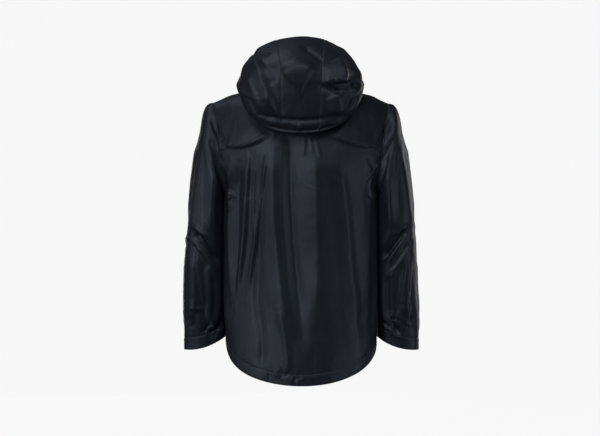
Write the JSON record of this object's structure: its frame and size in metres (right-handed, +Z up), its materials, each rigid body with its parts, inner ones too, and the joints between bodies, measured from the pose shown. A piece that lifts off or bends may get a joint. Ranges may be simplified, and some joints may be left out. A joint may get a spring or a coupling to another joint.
{
  "type": "hardshell jacket",
  "caption": "Hooded waterproof mountain jacket with long sleeves, raised hood, drop-tail hem, front zip and zipped pockets, hanging by its neck loop.",
  "frame": {"origin": "inside of the hanger loop at the back of the neck, where a hook bears", "axes": "+Z up; +Y out of the jacket's back, so the front zip faces -Y; +X to the wearer's left"},
  "size_m": [0.639, 0.3514, 0.937],
  "materials": {
    "shell_cloth": "satin",
    "lining_cloth": "matte",
    "zip_tape": "matte",
    "zip_coil": "satin",
    "slider_metal": "satin",
    "moulded_trim": "matte",
    "elastic": "matte"
  },
  "bodies": {
    "torso": {"back_panel": "shell_cloth", "back_neck_panel": "shell_cloth", "back_hem_tunnel": "shell_cloth", "hem_cord": "elastic", "inner_back_collar": "lining_cloth", "neck_label": "elastic", "hanger_loop": "elastic", "zip_coil": "zip_coil", "zip_bottom_box": "moulded_trim", "left_hand_pocket_zip": "zip_tape", "right_hand_pocket_zip": "zip_tape", "chest_pocket_zip": "zip_tape", "left_back_yoke": "shell_cloth", "left_front_yoke": "shell_cloth", "left_front_panel": "shell_cloth", "left_front_hem_tunnel": "shell_cloth", "left_collar": "shell_cloth", "left_zip_tape": "zip_tape", "left_hem_lock": "moulded_trim", "right_back_yoke": "shell_cloth", "right_front_yoke": "shell_cloth", "right_front_panel": "shell_cloth", "right_front_hem_tunnel": "shell_cloth", "right_collar": "shell_cloth", "right_zip_tape": "zip_tape", "right_hem_lock": "moulded_trim"},
    "hood": {"hood_centre_panel": "shell_cloth", "hood_left_panel": "shell_cloth", "hood_right_panel": "shell_cloth", "hood_peak": "shell_cloth", "hood_face_binding": "elastic", "hood_adjuster_patch": "moulded_trim", "hood_rear_lock": "moulded_trim", "left_face_lock": "moulded_trim", "right_face_lock": "moulded_trim"},
    "left_upper_arm": {"left_upper_sleeve": "shell_cloth"},
    "left_forearm": {"left_forearm_outer": "shell_cloth", "left_forearm_under": "shell_cloth", "left_cuff": "shell_cloth"},
    "left_tab": {"left_cuff_tab": "moulded_trim"},
    "right_upper_arm": {"right_upper_sleeve": "shell_cloth"},
    "right_forearm": {"right_forearm_outer": "shell_cloth", "right_forearm_under": "shell_cloth", "right_cuff": "shell_cloth"},
    "right_tab": {"right_cuff_tab": "moulded_trim"},
    "main_slider": {"zip_slider": "slider_metal"},
    "main_puller": {"zip_puller": "moulded_trim"},
    "left_pocket_slider": {"left_hand_pocket_zip_slider": "slider_metal"},
    "left_pocket_puller": {"left_hand_pocket_zip_puller": "moulded_trim"},
    "right_pocket_slider": {"right_hand_pocket_zip_slider": "slider_metal"},
    "right_pocket_puller": {"right_hand_pocket_zip_puller": "moulded_trim"},
    "chest_pocket_slider": {"chest_pocket_zip_slider": "slider_metal"},
    "chest_pocket_puller": {"chest_pocket_zip_puller": "moulded_trim"},
    "hood_rear_button": {"hood_rear_lock_button": "moulded_trim"},
    "left_face_button": {"left_face_lock_button": "moulded_trim"},
    "right_face_button": {"right_face_lock_button": "moulded_trim"},
    "left_hem_button": {"left_hem_lock_button": "moulded_trim"},
    "right_hem_button": {"right_hem_lock_button": "moulded_trim"}
  },
  "joints": [
    {"name": "hood_raise", "type": "hinge", "parent": "torso", "child": "hood", "pos_m": [0, -0.169, 0.07], "axis": [1, 0, 0], "range_deg": [0, 18]},
    {"name": "left_shoulder_lift", "type": "hinge", "parent": "torso", "child": "left_upper_arm", "pos_m": [0.237, -0.066, -0.003], "axis": [0, -1, 0], "range_deg": [0, 30]},
    {"name": "left_elbow_bend", "type": "hinge", "parent": "left_upper_arm", "child": "left_forearm", "pos_m": [0.26, -0.141, -0.3975], "axis": [-1, 0, 0], "range_deg": [0, 55]},
    {"name": "left_cuff_tab_open", "type": "hinge", "parent": "left_forearm", "child": "left_tab", "pos_m": [0.27571, -0.14692, -0.6473], "axis": [0.0139, -0.0072, -0.9999], "range_deg": [0, 90]},
    {"name": "right_shoulder_lift", "type": "hinge", "parent": "torso", "child": "right_upper_arm", "pos_m": [-0.237, -0.066, -0.003], "axis": [0, 1, 0], "range_deg": [0, 30]},
    {"name": "right_elbow_bend", "type": "hinge", "parent": "right_upper_arm", "child": "right_forearm", "pos_m": [-0.26, -0.141, -0.3975], "axis": [-1, 0, 0], "range_deg": [0, 55]},
    {"name": "right_cuff_tab_open", "type": "hinge", "parent": "right_forearm", "child": "right_tab", "pos_m": [-0.27571, -0.14692, -0.6473], "axis": [0.0139, 0.0072, 0.9999], "range_deg": [0, 90]},
    {"name": "main_zip_slide", "type": "slide", "parent": "torso", "child": "main_slider", "axis": [0, 0.032, 0.9995], "range_m": [-0.73, 0]},
    {"name": "main_zip_puller_swing", "type": "hinge", "parent": "main_slider", "child": "main_puller", "pos_m": [0, -0.17106, 0.06056], "axis": [-1, 0, 0], "range_deg": [0, 100]},
    {"name": "left_hand_pocket_zip_slide", "type": "slide", "parent": "torso", "child": "left_pocket_slider", "axis": [0.0062, 0.0264, 0.9996], "range_m": [-0.165, 0]},
    {"name": "left_hand_pocket_zip_puller_swing", "type": "hinge", "parent": "left_pocket_slider", "child": "left_pocket_puller", "pos_m": [0.12283, -0.16821, -0.45448], "axis": [-0.9314, -0.3636, 0.0153], "range_deg": [0, 100]},
    {"name": "right_hand_pocket_zip_slide", "type": "slide", "parent": "torso", "child": "right_pocket_slider", "axis": [-0.0062, 0.0264, 0.9996], "range_m": [-0.165, 0]},
    {"name": "right_hand_pocket_zip_puller_swing", "type": "hinge", "parent": "right_pocket_slider", "child": "right_pocket_puller", "pos_m": [-0.12283, -0.16821, -0.45448], "axis": [-0.9314, 0.3636, -0.0153], "range_deg": [0, 100]},
    {"name": "chest_pocket_zip_slide", "type": "slide", "parent": "torso", "child": "chest_pocket_slider", "axis": [-0.0929, -0.0039, 0.9957], "range_m": [-0.105, 0]},
    {"name": "chest_pocket_zip_puller_swing", "type": "hinge", "parent": "chest_pocket_slider", "child": "chest_pocket_puller", "pos_m": [0.06536, -0.17785, -0.19431], "axis": [-0.9821, -0.1644, -0.0923], "range_deg": [0, 100]},
    {"name": "hood_rear_button_press", "type": "slide", "parent": "hood", "child": "hood_rear_button", "axis": [0.7864, 0.6178, 0], "range_m": [0, 0.003], "stiffness_N_per_m": 150},
    {"name": "left_face_button_press", "type": "slide", "parent": "hood", "child": "left_face_button", "axis": [-0.9743, -0.2254, 0], "range_m": [0, 0.003], "stiffness_N_per_m": 150},
    {"name": "right_face_button_press", "type": "slide", "parent": "hood", "child": "right_face_button", "axis": [-0.9743, 0.2254, 0], "range_m": [0, 0.003], "stiffness_N_per_m": 150},
    {"name": "left_hem_button_press", "type": "slide", "parent": "torso", "child": "left_hem_button", "axis": [0.6201, 0.7845, 0], "range_m": [0, 0.003], "stiffness_N_per_m": 150},
    {"name": "right_hem_button_press", "type": "slide", "parent": "torso", "child": "right_hem_button", "axis": [0.6201, -0.7845, 0], "range_m": [0, 0.003], "stiffness_N_per_m": 150}
  ]
}
